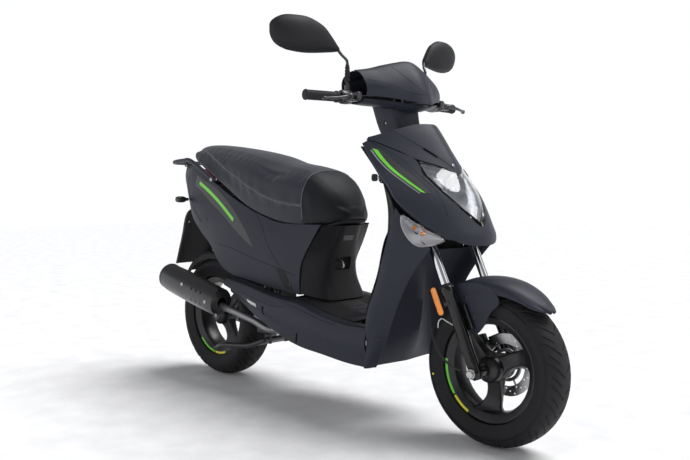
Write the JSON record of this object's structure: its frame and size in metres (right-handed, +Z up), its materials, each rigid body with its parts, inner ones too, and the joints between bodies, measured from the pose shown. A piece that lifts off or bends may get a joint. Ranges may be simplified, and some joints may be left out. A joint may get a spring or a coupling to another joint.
{
  "type": "moped scooter",
  "caption": "Step-through city scooter with twist-grip handlebar, padded seat over a storage bucket, sprung fork and swinging engine, folding stand and tail rail.",
  "frame": {"origin": "on the ground under the middle of the scooter's bounding box, with the tyres on z = 0", "axes": "+X forward, +Y to the rider's left, +Z up"},
  "size_m": [1.8415, 0.864, 1.295],
  "materials": {
    "anthracite_plastic": "matte",
    "black_plastic": "matte",
    "seat_cover": "matte",
    "tyre_rubber": "matte",
    "grip_rubber": "matte",
    "black_aluminium": "satin",
    "black_steel": "satin",
    "bright_steel": "satin",
    "lamp_reflector": "gloss",
    "clear_lens": "gloss",
    "red_lens": "gloss"
  },
  "bodies": {
    "chassis": {"frame": "black_steel", "front_cowl": "anthracite_plastic", "front_shield": "anthracite_plastic", "headlight_housing": "lamp_reflector", "headlight_lens": "clear_lens", "indicator_front_right": "clear_lens", "indicator_front_left": "clear_lens", "leg_shield": "anthracite_plastic", "leg_shield_inner": "black_plastic", "footboard": "black_plastic", "side_skirt_right": "anthracite_plastic", "side_skirt_left": "anthracite_plastic", "center_cover": "black_plastic", "body_side_right": "anthracite_plastic", "body_side_left": "anthracite_plastic", "tail_light": "red_lens", "indicator_rear_right": "black_plastic", "indicator_rear_left": "black_plastic", "grab_rail": "black_steel", "rear_mudguard": "black_plastic", "storage_bucket": "black_plastic", "fuel_tank": "black_plastic", "battery": "black_plastic"},
    "ignition_key": {"ignition_lock": "bright_steel"},
    "seat": {"seat_base": "black_plastic", "seat_cushion": "seat_cover"},
    "engine": {"crankcase": "black_aluminium", "cvt_cover": "black_aluminium", "air_cleaner": "black_plastic", "muffler": "black_steel", "rear_hugger": "black_plastic"},
    "centre_stand": {"centre_stand": "black_steel"},
    "kick_starter": {"kick_lever": "bright_steel"},
    "rear_wheel": {"rear_rim": "black_aluminium", "rear_tyre": "tyre_rubber"},
    "shock_upper": {"shock_body": "black_steel", "shock_spring": "bright_steel"},
    "shock_lower": {"shock_rod": "bright_steel"},
    "steering": {"fork_upper": "black_steel", "handlebar": "black_steel", "handlebar_cover_front": "anthracite_plastic", "handlebar_cover_rear": "anthracite_plastic", "neck_cover": "anthracite_plastic", "grip_left": "grip_rubber"},
    "throttle": {"throttle_grip": "grip_rubber"},
    "brake_lever_right": {"brake_lever_right": "black_aluminium"},
    "brake_lever_left": {"brake_lever_left": "black_aluminium"},
    "starter_button": {"starter_button": "black_plastic"},
    "horn_button": {"horn_button": "black_plastic"},
    "mirror_right": {"mirror_right": "black_plastic"},
    "mirror_left": {"mirror_left": "black_plastic"},
    "fork_lower": {"fork_lower_right": "black_aluminium", "fork_lower_left": "black_aluminium", "front_axle": "bright_steel", "front_mudguard": "anthracite_plastic", "brake_caliper": "black_aluminium", "speedo_cable": "grip_rubber"},
    "front_wheel": {"front_rim": "black_aluminium", "front_tyre": "tyre_rubber", "brake_disc": "bright_steel"}
  },
  "joints": [
    {"name": "steering", "type": "hinge", "parent": "chassis", "child": "steering", "pos_m": [0.6591, 0, 0.234], "axis": [-0.421, 0, 0.907], "range_deg": [-40, 40]},
    {"name": "front_suspension", "type": "slide", "parent": "steering", "child": "fork_lower", "axis": [-0.421, 0, 0.907], "range_m": [0, 0.07], "stiffness_N_per_m": 8000, "springref_m": -0.085},
    {"name": "front_wheel_spin", "type": "hinge", "parent": "fork_lower", "child": "front_wheel", "pos_m": [0.6867, 0, 0.234], "axis": [0, 1, 0], "continuous": true},
    {"name": "engine_swing", "type": "hinge", "parent": "chassis", "child": "engine", "pos_m": [-0.2848, 0, 0.262], "axis": [0, 1, 0], "range_deg": [0, 10], "stiffness_Nm_per_rad": 700, "springref_deg": -24.06},
    {"name": "rear_wheel_spin", "type": "hinge", "parent": "engine", "child": "rear_wheel", "pos_m": [-0.6563, 0, 0.243], "axis": [0, 1, 0], "continuous": true},
    {"name": "shock_tilt", "type": "hinge", "parent": "chassis", "child": "shock_upper", "pos_m": [-0.5848, 0.101, 0.61], "axis": [0, 1, 0], "range_deg": [-4.8, 0]},
    {"name": "shock_slide", "type": "slide", "parent": "shock_upper", "child": "shock_lower", "axis": [0, 0, 1], "range_m": [0, 0.051], "deforming": ["shock_spring"]},
    {"name": "centre_stand", "type": "hinge", "parent": "engine", "child": "centre_stand", "pos_m": [-0.3298, 0, 0.185], "axis": [0, 1, 0], "range_deg": [-82, 0], "stiffness_Nm_per_rad": 12, "springref_deg": 14.32},
    {"name": "kick_starter", "type": "hinge", "parent": "engine", "child": "kick_starter", "pos_m": [-0.3798, 0.172, 0.255], "axis": [0, 1, 0], "range_deg": [-60, 0], "stiffness_Nm_per_rad": 6, "springref_deg": 11.46},
    {"name": "seat_hinge", "type": "hinge", "parent": "chassis", "child": "seat", "pos_m": [0.0752, 0, 0.652], "axis": [0, 1, 0], "range_deg": [0, 55]},
    {"name": "ignition_key", "type": "hinge", "parent": "chassis", "child": "ignition_key", "pos_m": [0.2962, -0.085, 0.8], "axis": [1, 0, 0], "range_deg": [0, 90]},
    {"name": "throttle", "type": "hinge", "parent": "steering", "child": "throttle", "pos_m": [0.23323, -0.35792, 1.04898], "axis": [-0.1624, -0.9867, -0.0042], "range_deg": [0, 75], "stiffness_Nm_per_rad": 0.4, "springref_deg": -17.19},
    {"name": "brake_lever_right", "type": "hinge", "parent": "steering", "child": "brake_lever_right", "pos_m": [0.3012, -0.228, 1.047], "axis": [0, 0, -1], "range_deg": [0, 18], "stiffness_Nm_per_rad": 3, "springref_deg": -8.59},
    {"name": "brake_lever_left", "type": "hinge", "parent": "steering", "child": "brake_lever_left", "pos_m": [0.3012, 0.228, 1.047], "axis": [0, 0, 1], "range_deg": [0, 18], "stiffness_Nm_per_rad": 3, "springref_deg": -8.59},
    {"name": "starter_button", "type": "slide", "parent": "steering", "child": "starter_button", "axis": [1, 0, 0], "range_m": [0, 0.002], "stiffness_N_per_m": 400, "springref_m": -0.001},
    {"name": "horn_button", "type": "slide", "parent": "steering", "child": "horn_button", "axis": [1, 0, 0], "range_m": [0, 0.002], "stiffness_N_per_m": 400, "springref_m": -0.001},
    {"name": "mirror_right_turn", "type": "hinge", "parent": "steering", "child": "mirror_right", "pos_m": [0.2472, -0.189, 1.0905], "axis": [0, 0, 1], "range_deg": [-20, 20]},
    {"name": "mirror_left_turn", "type": "hinge", "parent": "steering", "child": "mirror_left", "pos_m": [0.2472, 0.189, 1.0905], "axis": [0, 0, 1], "range_deg": [-20, 20]}
  ],
  "couplings": [
    {"joint": "shock_tilt", "follows": "engine_swing", "ratio": -0.4672},
    {"joint": "shock_slide", "follows": "engine_swing", "m_per_rad": 0.2889}
  ]
}
